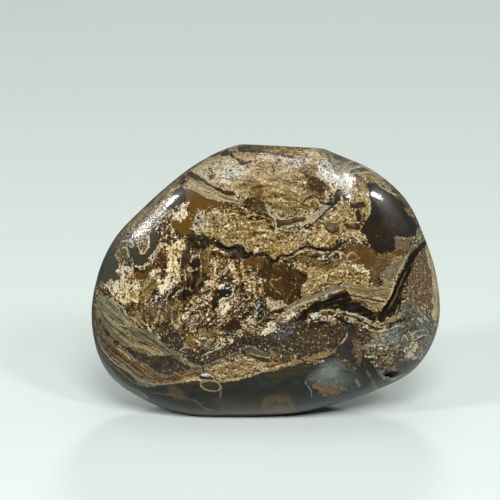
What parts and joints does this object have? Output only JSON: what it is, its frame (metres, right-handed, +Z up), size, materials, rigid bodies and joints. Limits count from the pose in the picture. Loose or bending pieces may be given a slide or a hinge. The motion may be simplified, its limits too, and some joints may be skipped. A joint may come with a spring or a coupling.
{
  "type": "stromatolite pebble",
  "caption": "Tumbled and polished pebble of banded stromatolite rock that stands on its worn lower edge as a display stone.",
  "frame": {"origin": "on the surface the pebble stands on, under the middle of its outline", "axes": "+Z up, +X along the pebble's length, -Y out of the broad polished face"},
  "size_m": [0.0484, 0.025, 0.0379],
  "materials": {
    "polished_stromatolite": "tumbled and polished banded chert, tan, amber, brown and near-black, glossy with sugary matte patches"
  },
  "bodies": {
    "root": {"stromatolite_pebble": "polished_stromatolite"}
  },
  "joints": []
}
